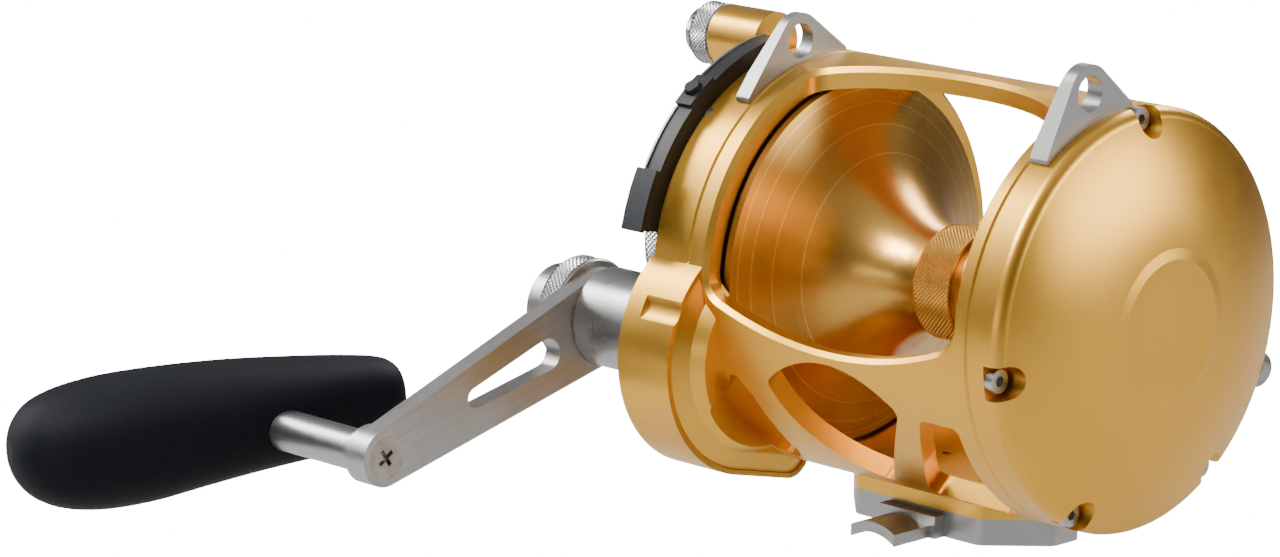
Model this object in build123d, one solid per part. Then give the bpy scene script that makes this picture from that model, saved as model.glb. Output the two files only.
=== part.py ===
"""Lever-drag two-speed trolling reel, as an assembly of separate solids.

Frame of the part: X runs along the spool axis (+X towards the plain side), -Y is the
front (towards the rod tip), +Z is up.  The origin is the centre of the reel foot's
underside, the face that sits on the rod.

Every piece is drawn about the spool axis (y = 0, z = 0 there) and is lifted by AXIS_Z
when it is written.  Angles called "from the top" start at +Z and turn to the front.
"""

import math
import os

from build123d import *

os.makedirs("parts", exist_ok=True)

# ---------------------------------------------------------------- driving sizes (mm)
AXIS_Z = 67.0  # spool axis above the foot's underside

PLATE_R = 59.0  # side plates, rings and cover
BORE_R = 53.2  # clear bore of the one-piece frame
RING_CHAMFER = 0.6

FRAME_X0 = -52.7  # joint with the handle side plate
FRAME_X1 = 51.2  # joint with the plain side cover
WINDOW_X = 45.7  # half width of the frame's windows

FLANGE_R = 52.2  # spool flange
FLANGE_X = 42.7  # inner rim of the flange
SPOOL_END_X = 45.0
ARBOR_R = 14.6

CRANK = (-36.5, -21.5)  # crank axis (y, z) from the spool axis
CENTRE_DISTANCE = math.hypot(*CRANK)
STEM = (-122.7, -48.9)  # grip stem axis (y, z)

SHAFT_R = 5.0
RUNNING = 0.05  # radial clearance of a running fit
CLEAR = 0.3  # gap between pieces that pass each other

HIGH_TEETH = (62, 20)  # main gear and pinion, 3.1 to 1
LOW_TEETH = (52, 40)  # main gear and pinion, 1.3 to 1
PRESSURE_ANGLE = 20.0
BACKLASH = 0.14

PLATE_FACE_X = -66.7  # outer face of the handle side plate
CHAMBER_FLOOR_X = -64.4  # inner face of that plate
HIGH_GEAR_X = (-59.8, -55.6)
LOW_GEAR_X = (-63.9, -60.4)
RATCHET_X = (-55.1, -53.1)
BRIDGE_X = (-50.0, -47.0)
GEAR_POCKET_R = 33.5

HUB_X = (-107.0, -76.3)
HUB_R = 14.6
ARM_X = (-113.0, -107.0)

FOOT_TOP_Z = -59.5
STUD_SPACING = (50.0, 18.0)  # clamp studs, along X and along Y

LEVER_ANGLE = 3.0  # drag lever at rest, from the top
LEVER_REACH = 59.4
LUG_HOLE_R = 5.0


# ---------------------------------------------------------------- shape helpers
def polar(radius, angle, at=(0, 0)):
    """A (y, z) point, its angle measured from the top towards the front."""
    turn = math.radians(angle)
    return (at[0] - radius * math.sin(turn), at[1] + radius * math.cos(turn))


def rod(radius, x0, x1, at=(0, 0)):
    """Cylinder along X from x0 to x1, centred on the (y, z) point `at`."""
    return Pos((x0 + x1) / 2, at[0], at[1]) * Rot(0, 90, 0) * Cylinder(radius, abs(x1 - x0))


def ring(outer, inner, x0, x1, at=(0, 0)):
    return rod(outer, x0, x1, at) - rod(inner, min(x0, x1) - 1, max(x0, x1) + 1, at)


def slab(outline, x0, x1):
    """A plate along X from a closed outline of (y, z) points."""
    return extrude(Plane.YZ.offset(x0) * make_face(Polyline(*outline, close=True)), x1 - x0)


def turned(profile, at=(0, 0)):
    """A solid turned about X from closed (x, radius) points."""
    return Pos(0, at[0], at[1]) * revolve(make_face(Polyline(*profile, close=True)), Axis.X)


def hull_slab(circles, x0, x1, taper=0.0):
    """A plate along X whose outline is stretched round circles given as (y, z, radius)."""
    edges = []
    for y, z, radius in circles:
        edges += (Pos(y, z) * Circle(radius)).edges()
    return extrude(Plane.YZ.offset(x0) * make_hull(edges), x1 - x0, taper=taper)


def wedge(angle0, angle1, x0, x1, reach=140.0):
    """A sector about the spool axis, used to keep part of a ring."""
    steps = max(2, math.ceil((angle1 - angle0) / 30))
    fan = [polar(reach, angle0 + (angle1 - angle0) * i / steps) for i in range(steps + 1)]
    return slab([(0, 0)] + fan, x0, x1)


def radial_rod(radius, r0, r1, angle, x, sides=0):
    """A round or prismatic bar that points away from the spool axis."""
    y, z = polar(1, angle)
    plane = Plane(origin=(x, y * r0, z * r0), x_dir=(1, 0, 0), z_dir=(0, y, z))
    section = RegularPolygon(radius, sides) if sides else Circle(radius)
    return extrude(plane * section, r1 - r0)


def radial_plate(width, length, r0, r1, angle, x):
    """A flat block, `length` along X, that lies square to the spool's radius."""
    y, z = polar(1, angle)
    plane = Plane(origin=(x, y * r0, z * r0), x_dir=(1, 0, 0), z_dir=(0, y, z))
    return extrude(plane * Rectangle(length, width), r1 - r0)


def joined(solids):
    """Separate solids kept as one group."""
    return Compound([solid for group in solids for solid in group.solids()])


def socket_screw(head_r, head_h, shank_r, x_head, x_end, at, hex_r):
    """Cap screw along X: head outside at x_head, hexagon socket in the head."""
    way = 1 if x_head > x_end else -1
    seat = x_head - way * head_h
    screw = rod(head_r, x_head, seat, at) + rod(shank_r, seat, x_end, at)
    socket = Plane.YZ.offset(x_head - way * head_h * 0.65) * Pos(*at) * RegularPolygon(hex_r, 6)
    return screw - extrude(socket, way * head_h)


def flat_screw_z(x, y, z_face, head_r, shank_r, length):
    """Countersunk screw that points up from a face at z_face."""
    head = Pos(x, y, z_face + head_r / 4) * Cone(head_r, shank_r, head_r / 2)
    shank = Pos(x, y, z_face + length / 2) * Cylinder(shank_r, length)
    socket = Pos(x, y, z_face) * extrude(RegularPolygon(shank_r * 0.8, 6), head_r * 0.45)
    return head + shank - socket


def involute(angle):
    return math.tan(angle) - angle


def gear(teeth, module, x_span, at, first_tooth):
    """Spur gear; first_tooth is the angle of one tooth's middle, from the top."""
    pitch_r = teeth * module / 2
    base_r = pitch_r * math.cos(math.radians(PRESSURE_ANGLE))
    tip_r = pitch_r + module
    root_r = pitch_r - 1.25 * module
    start_r = max(base_r, root_r + 0.05)
    pitch_half = math.pi / (2 * teeth) - BACKLASH / (2 * pitch_r)
    pitch_inv = involute(math.radians(PRESSURE_ANGLE))
    flank = [root_r] + [start_r + (tip_r - start_r) * i / 4 for i in range(5)]

    def half_angle(radius):
        radius = max(radius, start_r)
        return pitch_half + pitch_inv - involute(math.acos(base_r / radius))

    points = []
    for tooth in range(teeth):
        middle = first_tooth + 360 * tooth / teeth
        rising = [(radius, -math.degrees(half_angle(radius))) for radius in flank]
        falling = [(radius, -offset) for radius, offset in reversed(rising)]
        points += [polar(radius, middle + offset, at) for radius, offset in rising + falling]
    return slab(points, *x_span)


# ---------------------------------------------------------------- outlines
# The gear housing's lobe is stretched round these circles (y, z, radius).
LOBE = [(*CRANK, 35.5), (-21.5, -53.5, 7.6)]
LOBE_INSET = 1.5  # the frame's closing flange sits this far inside the plate's skirt
LOBE_GROOVE = (-73.6, -3.1, 7.0)  # thumb relief where the lobe leaves the round plate
SKIRT_X = -47.0

FOOT_OUTLINE = [(-23, -20), (23, -20), (38, -5), (38, 5), (23, 20), (-23, 20), (-38, 5), (-38, -5)]

COVER_SCREW_ANGLES = (0, 98, 154, -146)
COVER_SCREW_R = 55.6
PLATE_SCREW_ANGLES = (40, -20, -75, -140, 178)
BRIDGE_SCREW_ANGLES = (20, -100, 178)
BRIDGE_SCREW_REACH = 46.0


def inset_lobe(distance):
    """The lobe's circles, each smaller by the distance."""
    return [(y, z, radius - distance) for y, z, radius in LOBE]


def foot_plate(z0, z1, corner=4.0):
    face = make_face(Polyline(*FOOT_OUTLINE, close=True))
    return extrude(Plane.XY.offset(z0) * fillet(face.vertices(), corner), z1 - z0)


# ---------------------------------------------------------------- the one-piece frame
def window(top_end, top_middle, lower_end, lower_middle, corner):
    """Cutter for a front window, from its upper edge (y) and its lower edge (z)."""
    w = WINDOW_X
    plan = make_face([
        Line((-w, -80), (-w, top_end)),
        ThreePointArc((-w, top_end), (0, top_middle), (w, top_end)),
        Line((w, top_end), (w, -80)),
        Line((w, -80), (-w, -80)),
    ])
    plan = fillet(plan.vertices().filter_by(lambda v: v.Y > -79), corner)
    front = make_face([
        Line((-w, 80), (-w, lower_end)),
        ThreePointArc((-w, lower_end), (0, lower_middle), (w, lower_end)),
        Line((w, lower_end), (w, 80)),
        Line((w, 80), (-w, 80)),
    ])
    front = fillet(front.vertices().filter_by(lambda v: v.Y < 79), corner)
    downward = extrude(Plane.XY.offset(25) * plan, 65)
    backward = extrude(Plane.XZ.offset(25) * front, 60)
    return downward + backward


LOWER_PLANE_ANGLE = 130.0


def band_point(x, angle):
    """A point of the outer band, on the flat plane the lower openings are drawn in."""
    return (x, PLATE_R * math.sin(math.radians(LOWER_PLANE_ANGLE - angle)))


def lower_openings():
    """Cutters for the three lightening openings between the lower struts."""
    leaf = make_face([
        ThreePointArc(band_point(-26, 113.5), band_point(-2, 103.4), band_point(23.2, 113.5)),
        ThreePointArc(band_point(23.2, 113.5), band_point(13.5, 131), band_point(0, 150.5)),
        ThreePointArc(band_point(0, 150.5), band_point(-15.8, 134), band_point(-26, 113.5)),
    ])
    slot = make_face(Polyline(*[band_point(x, angle) for x, angle in (
        (-42.4, 118.5), (-40.6, 114), (-37.6, 114), (-33.8, 120), (-31.8, 131), (-31.6, 144), (-35.4, 150),
        (-40, 150), (-42.4, 145))], close=True))
    outer = make_face(Polyline(*[band_point(x, angle) for x, angle in (
        (31, 114), (44.5, 114), (44.5, 152), (37, 156.5), (13, 151.5), (24, 132))], close=True))
    y, z = polar(1, LOWER_PLANE_ANGLE)
    plane = Plane(origin=(0, 0, 0), x_dir=(1, 0, 0), z_dir=(0, y, z))
    cutters = [fillet(leaf.vertices(), 3.0), fillet(slot.vertices(), 1.8), fillet(outer.vertices(), 2.6)]
    return [extrude(plane * cutter, 90) for cutter in cutters]


WINDOW_CHAMFER = 1.4


def window_edges(body, side):
    """One window's edges on the outer cylinder, which lie clear of the end rings."""
    def on_band(edge):
        spots = [edge @ (i / 6) for i in range(7)]
        return all(abs(math.hypot(p.Y, p.Z) - PLATE_R) < 0.02 and abs(p.X) < WINDOW_X + 0.1
                   and p.Y * side > 0 for p in spots)
    return body.edges().filter_by(on_band)


def frame():
    """Two rings, the top bar and the lower struts, milled from one bar."""
    c = RING_CHAMFER
    body = turned([(FRAME_X0, 30), (FRAME_X0, PLATE_R - c), (FRAME_X0 + c, PLATE_R),
                   (FRAME_X1 - c, PLATE_R), (FRAME_X1, PLATE_R - c), (FRAME_X1, 30)])
    front = window(-16.5, -1.0, -0.5, -10.2, 8.0)
    rear = mirror(window(-36.0, -38.0, -0.5, -10.2, 8.0), about=Plane.XZ)
    for side, cutter in ((-1, front), (1, rear)):
        body -= cutter
        body = chamfer(window_edges(body, side), WINDOW_CHAMFER)
    body += foot_plate(FOOT_TOP_Z, -45, corner=3.0)
    body += hull_slab(inset_lobe(LOBE_INSET + 0.1), FRAME_X0, FRAME_X0 + 5.2)
    body += hull_slab(inset_lobe(LOBE_INSET + 0.6), FRAME_X0 + 5.2, FRAME_X0 + 7.4, taper=66)
    body += turned([(FRAME_X0 + 7.3, 0), (FRAME_X0 + 7.3, 28.5), (FRAME_X0 + 11.0, 26.0),
                    (FRAME_X0 + 11.0, 0)], CRANK)
    for cutter in lower_openings():
        body -= cutter
        body -= mirror(cutter, about=Plane.XZ)
    body -= rod(BORE_R, FRAME_X0 - 1, FRAME_X1 + 1)
    for angle in COVER_SCREW_ANGLES:
        body -= rod(1.75, FRAME_X1 - 7, FRAME_X1 + 1, polar(COVER_SCREW_R, angle))
    for angle in PLATE_SCREW_ANGLES:
        body -= rod(1.75, FRAME_X0 - 1, FRAME_X0 + 6, polar(COVER_SCREW_R, angle))
    for x, y in FOOT_SCREWS:
        body -= Pos(x, y, FOOT_TOP_Z + 3) * Cylinder(FOOT_SCREW_R, 8)
    return body


FOOT_SCREWS = [(-14, -9), (14, -9), (-14, 9), (14, 9)]
FOOT_SCREW_R = 2.0


# ---------------------------------------------------------------- plain side
COVER_RIM_X = 60.0
COVER_NOSE_X = 73.0
COVER_DISC_R = 19.0


def plain_side_cover():
    """Domed cover with a flat middle; its inside is hollow up to the shaft boss."""
    c = RING_CHAMFER
    dome = COVER_NOSE_X - 0.6
    face = make_face([
        Line((FRAME_X1, 0), (FRAME_X1, PLATE_R - c)),
        Line((FRAME_X1, PLATE_R - c), (FRAME_X1 + c, PLATE_R)),
        Line((FRAME_X1 + c, PLATE_R), (COVER_RIM_X, PLATE_R)),
        ThreePointArc((COVER_RIM_X, PLATE_R), (COVER_RIM_X + 1.6, PLATE_R - 0.8),
                      (COVER_RIM_X + 3.0, PLATE_R - 3.0)),
        ThreePointArc((COVER_RIM_X + 3.0, PLATE_R - 3.0), (69.6, 38), (dome, COVER_DISC_R + 3)),
        Line((dome, COVER_DISC_R + 3), (COVER_NOSE_X, COVER_DISC_R)),
        Line((COVER_NOSE_X, COVER_DISC_R), (COVER_NOSE_X, 0)),
        Line((COVER_NOSE_X, 0), (FRAME_X1, 0)),
    ])
    body = revolve(face, Axis.X)
    body -= turned([(FRAME_X1 - 1, 0), (FRAME_X1 - 1, 50), (59, 50), (65, 38), (68.5, 20), (68.5, 0)])
    body += turned([(69, 0), (69, 12), (55, 9.5), (55, 0)])
    body -= rod(SHAFT_R, 50, 66)
    for angle in COVER_SCREW_ANGLES:
        spot = polar(COVER_SCREW_R, angle)
        outside = polar(PLATE_R + 6, angle)
        body -= hull_slab([(*spot, 4.6), (*outside, 5.2)], 57.4, 75)
        body -= rod(1.85, 50, 60, spot)
    body -= radial_rod(CLICK_STEM_R + RUNNING, 45, 62, CLICK_ANGLE, CLICK_X)
    return body - lug_pins()


def cover_screws():
    return joined(socket_screw(3.3, 2.6, 1.75, 60.0, FRAME_X1 - 6.5, polar(COVER_SCREW_R, a), 1.6)
                  for a in COVER_SCREW_ANGLES)


CLICK_ANGLE = -112.0
CLICK_X = 55.8
CLICK_STEM_R = 2.2
CLICK_RATCHET_R = 21.0
CLICK_RATCHET_X = (47.0, 49.0)


def click_ratchet():
    teeth = 24
    outline = []
    for tooth in range(teeth):
        middle = 360 * tooth / teeth
        outline += [polar(CLICK_RATCHET_R, middle), polar(CLICK_RATCHET_R - 2.4, middle + 180 / teeth)]
    body = slab(outline, *CLICK_RATCHET_X)
    return body - rod(13, 40, 55) + ring(14.5, 13, 45.0, CLICK_RATCHET_X[1])


def click_button():
    """Push-pull button on the rear of the cover, with its stem."""
    button = radial_rod(5.4, PLATE_R + CLEAR, PLATE_R + 4.6, CLICK_ANGLE, CLICK_X)
    return button + radial_rod(CLICK_STEM_R, CLICK_PAWL_R, PLATE_R + 1, CLICK_ANGLE, CLICK_X)


def click_pawl():
    """Foot on the stem's inner end, with a finger that points at the click ratchet."""
    finger_x = sum(CLICK_RATCHET_X) / 2
    finger = radial_rod(1.4, CLICK_RATCHET_R + 0.6, CLICK_PAWL_R - 1, CLICK_ANGLE, finger_x)
    length = CLICK_X - finger_x + 4
    foot = radial_plate(4.6, length, CLICK_PAWL_R - 2, CLICK_PAWL_R, CLICK_ANGLE, (CLICK_X + finger_x) / 2)
    return finger + foot


CLICK_PAWL_R = 27.6


# ---------------------------------------------------------------- handle side plate
PLATE_BOSS_X = -70.0
CRANK_BOSS_X = -75.2


def handle_side_plate():
    """Gear housing: a round plate with the lobe for the main gears."""
    c = 0.8
    skirt = hull_slab(LOBE, PLATE_FACE_X, SKIRT_X)
    skirt -= rod(PLATE_R + 0.04, FRAME_X0, SKIRT_X + 1)
    body = turned([(FRAME_X0, 0), (FRAME_X0, PLATE_R - 0.6), (FRAME_X0 - 0.6, PLATE_R),
                   (PLATE_FACE_X + c, PLATE_R), (PLATE_FACE_X, PLATE_R - c), (PLATE_FACE_X, 0)])
    body += skirt
    body += turned([(PLATE_FACE_X + 1, 0), (PLATE_FACE_X + 1, 36), (PLATE_BOSS_X, 33), (PLATE_BOSS_X, 0)])
    body += turned([(PLATE_FACE_X + 1, 0), (PLATE_FACE_X + 1, 24), (CRANK_BOSS_X, 19.5),
                    (CRANK_BOSS_X, 0)], CRANK)
    body -= hull_slab(inset_lobe(LOBE_INSET), FRAME_X0, FRAME_X0 + 20)
    y, z, radius = LOBE_GROOVE
    body -= rod(radius, -60.5, SKIRT_X + 1, (y, z))
    body -= rod(50, CHAMBER_FLOOR_X, FRAME_X0 + 1)
    body -= rod(GEAR_POCKET_R, CHAMBER_FLOOR_X, FRAME_X0 + 1, CRANK)
    body -= rod(CRANK_BEARING[0], CRANK_BOSS_X + 2, -60, CRANK)
    body -= rod(HUB_SPIGOT_R + CLEAR, CRANK_BOSS_X - 5, -60, CRANK)
    body -= rod(CAM_R + CLEAR, PLATE_BOSS_X - 1, CHAMBER_FLOOR_X + 1)
    for angle in PLATE_SCREW_ANGLES:
        spot = polar(COVER_SCREW_R, angle)
        body -= rod(1.85, -70, -50, spot)
        body -= rod(3.5, PLATE_FACE_X - 1, PLATE_FACE_X + 2.6, spot)
    for angle in QUADRANT_SCREW_ANGLES:
        body -= rod(1.5, PLATE_FACE_X - 1, PLATE_FACE_X + 6, polar(QUADRANT_SCREW_R, angle))
    return body - lug_pins()


def handle_plate_screws():
    return joined(socket_screw(3.3, 2.4, 1.75, PLATE_FACE_X + 0.2, FRAME_X0 + 5.5,
                               polar(COVER_SCREW_R, a), 1.6) for a in PLATE_SCREW_ANGLES)


def bridge_plate():
    """Inner plate in the frame's bore: it carries the gear-side bearings and the pawls."""
    body = rod(BORE_R - 0.1, *BRIDGE_X)
    body -= rod(PINION_BEARING[0], -55, -40)
    body -= rod(SHAFT_BEARING[0], -55, -40, CRANK)
    for angle in BRIDGE_SCREW_ANGLES:
        body -= rod(1.6, -55, -40, polar(BRIDGE_SCREW_REACH, angle))
    for pivot in pawl_pivots():
        body -= rod(PAWL_PIN_R, -55, -40, pivot)
    return body


def bridge_screws():
    return joined(socket_screw(3.0, 2.0, 1.6, BRIDGE_X[0] - 2.0, BRIDGE_X[1],
                               polar(BRIDGE_SCREW_REACH, a), 1.3) for a in BRIDGE_SCREW_ANGLES)


# ---------------------------------------------------------------- spool and drive
PINION_BEARING = (12.0, 8.0)  # outer and inner radius
SHAFT_BEARING = (8.0, 5.0)
CRANK_BEARING = (13.0, 8.0)
SPOOL_BEARING = (9.5, SHAFT_R)
SPOOL_BEARING_X = ((-38.0, -32.0), (32.0, 38.0))
DRAG_RECESS_X = -41.4
HUB_SPIGOT_R = 9.0


def spool():
    """Flanges that run down in a trumpet curve to the arbor, with a knurl-wide band."""
    curve = [(FLANGE_X, FLANGE_R), (37.5, 39.5), (29.5, 26.5), (18, 17.4), (8.5, ARBOR_R)]
    end, bearing_r, band = SPOOL_END_X, SPOOL_BEARING[0], 6.5
    left = [(-x, r) for x, r in curve]
    profile = make_face([
        Line((end, bearing_r), (end, FLANGE_R)),
        Line((end, FLANGE_R), curve[0]),
        Spline(*curve),
        Line(curve[-1], (band, ARBOR_R)),
        Line((band, ARBOR_R), (band, ARBOR_R + 0.6)),
        Line((band, ARBOR_R + 0.6), (-band, ARBOR_R + 0.6)),
        Line((-band, ARBOR_R + 0.6), (-band, ARBOR_R)),
        Line((-band, ARBOR_R), left[-1]),
        Spline(*reversed(left)),
        Line(left[0], (-end, FLANGE_R)),
        Line((-end, FLANGE_R), (-end, bearing_r)),
        Line((-end, bearing_r), (end, bearing_r)),
    ])
    body = revolve(profile, Axis.X)
    waist = 31.9
    body += ring(bearing_r + 1, 7.5, -waist, waist)
    body -= rod(47.5, -end - 1, DRAG_RECESS_X)
    body -= ring(46.0, 17.0, 42.6, end + 1)
    return body


def spool_bearings():
    return joined(ring(SPOOL_BEARING[0], SPOOL_BEARING[1] + RUNNING, x0, x1) for x0, x1 in SPOOL_BEARING_X)


def spool_shaft():
    shaft = rod(SHAFT_R, -99.5, 65.5)
    return shaft - rod(1.6, -105, -92)


def drag_washer():
    return ring(47.0, 20.0, -43.0, DRAG_RECESS_X)


def drag_plate():
    """Steel drive plate pressed on the pinion sleeve."""
    return ring(46.5, 6.5, -44.8, -43.0)


def belleville_washers():
    """Spring washers between the drive plate and the spool's bearing."""
    return joined(turned([(x, SHAFT_R + 0.4), (x + 0.5, SHAFT_R + 0.4), (x + 1.1, 8.5), (x + 0.6, 8.5)])
                  for x in (-42.6, -41.3, -40.0))


def pinion_high():
    """High-speed pinion with the sleeve that both pinions share."""
    module = 2 * CENTRE_DISTANCE / sum(HIGH_TEETH)
    teeth = gear(HIGH_TEETH[1], module, HIGH_GEAR_X, (0, 0), TO_CRANK + 180 / HIGH_TEETH[1])
    sleeve = rod(PINION_BEARING[1] - RUNNING, -55.8, -46.0) + rod(6.5, -46.5, -43.0)
    keyed = rod(7.4, CHAMBER_FLOOR_X + 0.5, HIGH_GEAR_X[0])
    return teeth + sleeve + keyed - rod(SHAFT_R + CLEAR, -70, -40)


def pinion_low():
    module = 2 * CENTRE_DISTANCE / sum(LOW_TEETH)
    teeth = gear(LOW_TEETH[1], module, LOW_GEAR_X, (0, 0), TO_CRANK + 180 / LOW_TEETH[1])
    return teeth - rod(7.4, -70, -50)


def pinion_bearing():
    return ring(PINION_BEARING[0], PINION_BEARING[1], *BRIDGE_X)


TO_CRANK = math.degrees(math.atan2(-CRANK[0], CRANK[1]))  # direction of the crank axis
TO_SPOOL = TO_CRANK - 180


def main_gear_high():
    module = 2 * CENTRE_DISTANCE / sum(HIGH_TEETH)
    body = gear(HIGH_TEETH[0], module, HIGH_GEAR_X, CRANK, TO_SPOOL)
    for i in range(6):
        body -= rod(5.0, -70, -50, polar(20.5, 60 * i, CRANK))
    return body - rod(CRANK_SHAFT_R, -70, -50, CRANK)


def main_gear_low():
    module = 2 * CENTRE_DISTANCE / sum(LOW_TEETH)
    body = gear(LOW_TEETH[0], module, LOW_GEAR_X, CRANK, TO_SPOOL)
    for i in range(5):
        body -= rod(3.6, -70, -50, polar(15.0, 72 * i, CRANK))
    return body - rod(CRANK_SHAFT_R + RUNNING, -70, -50, CRANK)


# ---------------------------------------------------------------- crank shaft and anti-reverse
CRANK_SHAFT_R = 7.0
SHIFT_ROD_R = 2.4
RATCHET_R = 12.6
PAWL_REACH = 19.5
PAWL_PIN_R = 1.5
PAWL_SIDES = (65, -65)


def crank_shaft():
    """Hollow shaft in two bearings; the shift rod slides inside it."""
    shaft = rod(SHAFT_BEARING[1], -53.0, -46.2, CRANK) + rod(CRANK_SHAFT_R, -64.2, -53.0, CRANK)
    shaft += rod(CRANK_BEARING[1], -73.0, -64.2, CRANK) + rod(6.2, ARM_X[0] - 3.8, -73.0, CRANK)
    return shaft - rod(SHIFT_ROD_R + RUNNING, -125, -55, CRANK)


def crank_inner_bearing():
    return ring(*SHAFT_BEARING, *BRIDGE_X, CRANK)


def crank_outer_bearing():
    return ring(*CRANK_BEARING, -72.8, -66.0, CRANK)


def anti_reverse_ratchet():
    teeth = 12
    outline = []
    for tooth in range(teeth):
        start = 360 * tooth / teeth
        outline += [polar(RATCHET_R, start, CRANK), polar(RATCHET_R - 2.6, start + 3, CRANK)]
    return slab(outline, *RATCHET_X) - rod(CRANK_SHAFT_R, -70, -40, CRANK)


def pawl_pivots():
    return [polar(PAWL_REACH, TO_SPOOL + side, CRANK) for side in PAWL_SIDES]


def pawl(side):
    """A pawl on its pin; its nose stops just clear of the ratchet's tips."""
    y, z = polar(PAWL_REACH, TO_SPOOL + side, CRANK)
    nose_turn = TO_SPOOL + side - math.copysign(36, side)
    nose = polar(RATCHET_R + 1.6, nose_turn, CRANK)
    body = hull_slab([(y, z, 3.2), (*nose, 1.1)], RATCHET_X[0] + 0.1, RATCHET_X[1] - 0.1)
    return body - rod(PAWL_PIN_R + RUNNING, -60, -40, (y, z))


def pawl_pins():
    return joined(rod(PAWL_PIN_R, RATCHET_X[0] - 0.3, BRIDGE_X[1], pivot) for pivot in pawl_pivots())


def pawl_springs():
    """Torsion springs, as plain sleeves round the pins."""
    return joined(ring(2.4, PAWL_PIN_R, -52.6, -50.4, pivot) for pivot in pawl_pivots())


# ---------------------------------------------------------------- crank handle
NUT_RING_X = (-121.0, ARM_X[0])
NUT_RING_R = 16.0
BUTTON_R = 12.2
ARM_HUB_R = 13.7
ARM_EYE_R = 8.4
ARM_SLOT = [(25.3, 0.0, 4.8), (54.5, -0.8, 3.0)]  # along, across, radius
ARM_SCREW_R = 6.3
GRIP_X = -170.0
GRIP_TILT = 25.0
GRIP_PITCH = 4.0


def along_arm(distance, across=0.0):
    """A (y, z) point measured from the crank axis towards the grip stem."""
    length = math.hypot(STEM[0] - CRANK[0], STEM[1] - CRANK[1])
    uy, uz = (STEM[0] - CRANK[0]) / length, (STEM[1] - CRANK[1]) / length
    return (CRANK[0] + uy * distance - uz * across, CRANK[1] + uz * distance + uy * across)


def crank_hub():
    body = turned([(HUB_X[1], 9.5), (HUB_X[1], HUB_R - 0.8), (HUB_X[1] - 0.8, HUB_R),
                   (HUB_X[0] + 0.4, HUB_R), (HUB_X[0], HUB_R - 0.4), (HUB_X[0], 6.2),
                   (-77, 6.2), (-77, 8.2), (HUB_X[1], 8.2)], CRANK)
    return body + ring(HUB_SPIGOT_R, 8.2, HUB_X[1], -73.2, CRANK)


def crank_arm():
    """Tapered arm with a long slot, and a thicker eye for the grip stem."""
    body = hull_slab([(*CRANK, ARM_HUB_R), (*STEM, ARM_EYE_R)], *ARM_X)
    body += rod(ARM_EYE_R, -115.0, ARM_X[1], STEM)
    body -= hull_slab([(*along_arm(d, a), r) for d, a, r in ARM_SLOT], ARM_X[0] - 1, ARM_X[1] + 1)
    body -= rod(6.2, -125, -100, CRANK)
    body -= rod(3.0, -120, -100, STEM)
    body -= turned([(ARM_X[1], 0), (ARM_X[1], ARM_SCREW_R), (ARM_X[1] - 3.3, 3.0), (ARM_X[1] - 3.3, 0)], STEM)
    return body


def hub_nut_ring():
    """Knurled ring nut that clamps the arm; the shift button sinks into it."""
    body = ring(NUT_RING_R, 6.2, *NUT_RING_X, CRANK)
    return body - rod(BUTTON_R - 2.2, -125, ARM_X[0] - 2.6, CRANK) - rod(BUTTON_R + CLEAR, -125, -117.2, CRANK)


def shift_button():
    """Button that changes the speed, with the rod and key that it moves."""
    profile = [(-130.4, 0), (-130.4, BUTTON_R - 1.8), (-128.8, BUTTON_R), (-120.6, BUTTON_R),
               (-120.6, BUTTON_R - 2.8), (-119.6, BUTTON_R - 2.8), (-119.6, 0)]
    return turned(profile, CRANK)


def shift_rod():
    return rod(SHIFT_ROD_R, -119.6, -60.4, CRANK)


def arm_screw():
    """Countersunk cross-recess screw that holds the grip stem."""
    face = ARM_X[1]
    body = turned([(face - 0.2, 0), (face - 0.2, ARM_SCREW_R - 0.2), (face - 3.3, 3.0), (-128, 3.0), (-128, 0)],
                  STEM)
    for turn in (35, 125):
        body -= Pos(face, *STEM) * Rot(turn, 0, 0) * Box(3.4, 5.6, 1.3)
    return body


def grip_stem():
    body = turned([(-115, 0), (-115, 7.2), (-117, 7.2), (-118.5, 6.0), (-180.8, 6.0), (-181.4, 5.4),
                   (-181.4, 0)], STEM)
    return body - rod(3.0, -128, -110, STEM)


def grip():
    """Soft T-bar grip: a tapered body with round ends, on an axis that leans outwards."""
    back_x, back_r = -36.0, 12.5
    front_x, front_r = 50.0, 19.3
    half = math.sqrt(0.5)
    outline = make_face([
        ThreePointArc((back_x - back_r, 0), (back_x - back_r * half, back_r * half), (back_x, back_r)),
        Line((back_x, back_r), (front_x, front_r)),
        ThreePointArc((front_x, front_r), (front_x + front_r * half, front_r * half), (front_x + front_r, 0)),
        Line((front_x + front_r, 0), (back_x - back_r, 0)),
    ])
    body = revolve(outline, Axis.X)
    place = Pos(GRIP_X, STEM[0], STEM[1] - 1.0) * Rot(0, 0, -90 - GRIP_TILT) * Rot(0, GRIP_PITCH, 0)
    return place * body - rod(GRIP_BEARING_R, -182.6, -100, STEM)


GRIP_BEARING_R = 8.6


def grip_bearings():
    return joined(ring(GRIP_BEARING_R, 6.0 + RUNNING, x0, x0 + 5, STEM) for x0 in (-178.5, -160.0))


def grip_circlip():
    return ring(7.3, 6.0, -180.2, -179.2, STEM)


# ---------------------------------------------------------------- drag lever
CAM_R = 11.0
LEVER_X = (-81.0, -75.5)
BARREL_END_X = -73.4
LEVER_KNOB_R = 9.2
QUADRANT_X = (-73.0, PLATE_FACE_X)
QUADRANT_R = (63.4, 48.0)
QUADRANT_ANGLES = (8, 77)
QUADRANT_SCREW_ANGLES = (14, 51, 71)
QUADRANT_SCREW_R = 54.5
STRIKE_ANGLE = 38.0
PRESET_X = (-103.4, -88.2)
PRESET_R = 27.0


def drag_cam():
    """Cam that pushes the shaft when the lever swings."""
    body = rod(CAM_R, -75.5, -65.2)
    return body - rod(SHAFT_R + CLEAR, -80, -60)


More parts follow.
